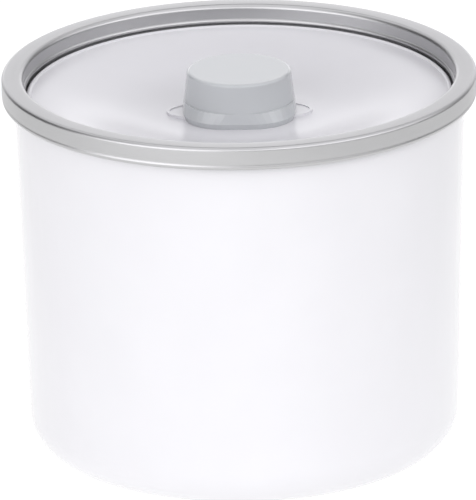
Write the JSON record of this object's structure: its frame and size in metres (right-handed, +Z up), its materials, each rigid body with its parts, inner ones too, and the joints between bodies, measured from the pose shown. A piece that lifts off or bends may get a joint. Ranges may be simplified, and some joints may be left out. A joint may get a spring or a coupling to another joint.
{
  "type": "yogurt maker",
  "caption": "Round electric yogurt maker: white tub with a satin metal rim, heated inner well, lift-out container and dished grey lid with a round knob.",
  "frame": {"origin": "on the table under the tub's centre, in the plane of the feet's undersides", "axes": "+Z up along the tub's axis, +Y towards the rear where the mains inlet is, +X to the right seen from the front"},
  "size_m": [0.19, 0.19, 0.1592],
  "materials": {
    "shell_white": "gloss white",
    "rim_metal": "fine satin",
    "lid_grey": "glossy light grey",
    "knob_grey": "semi-gloss grey",
    "seat_grey": "glossy light grey",
    "well_metal": "spun",
    "container_metal": "bright satin",
    "insulation": "needled felt",
    "heater_film": "film",
    "zinc_plate": "zinc plated",
    "screw_metal": "plated",
    "black_moulding": "matte",
    "fuse_body": "lacquered",
    "terminal_moulding": "matte",
    "terminal_brass": "bright",
    "lead_brown": "sheath",
    "lead_blue": "sheath",
    "lead_white": "sheath",
    "inlet_moulding": "fine grain",
    "pin_metal": "nickel plated",
    "base_moulding": "fine grain",
    "foot_rubber": "matte",
    "seal_silicone": "satin"
  },
  "bodies": {
    "base": {"outer_shell": "shell_white", "rim_ring": "rim_metal", "heating_well": "well_metal", "insulation_sleeve": "insulation", "heater_plate": "well_metal", "heater_element": "heater_film", "clamp_plate": "zinc_plate", "clamp_nuts": "screw_metal", "thermostat": "black_moulding", "thermostat_screws": "screw_metal", "thermal_fuse": "fuse_body", "fuse_clip": "zinc_plate", "terminal_block": "terminal_moulding", "terminal_screws": "terminal_brass", "lead_live": "lead_brown", "lead_neutral": "lead_blue", "lead_thermostat": "lead_white", "lead_heater": "lead_white", "inlet_housing": "inlet_moulding", "inlet_pins": "pin_metal", "inlet_screws": "screw_metal", "base_cover": "base_moulding", "base_screws": "screw_metal", "rubber_feet": "foot_rubber"},
    "container": {"yogurt_container": "container_metal"},
    "lid": {"lid_panel": "lid_grey", "lid_seal": "seal_silicone", "knob_seat": "seat_grey", "lid_knob": "knob_grey", "knob_screw": "screw_metal", "knob_washer": "zinc_plate"}
  },
  "joints": [
    {"name": "container_lift", "type": "slide", "parent": "base", "child": "container", "axis": [0, 0, 1], "range_m": [0, 0.15]},
    {"name": "lid_lift", "type": "slide", "parent": "container", "child": "lid", "axis": [0, 0, 1], "range_m": [0, 0.06]}
  ]
}
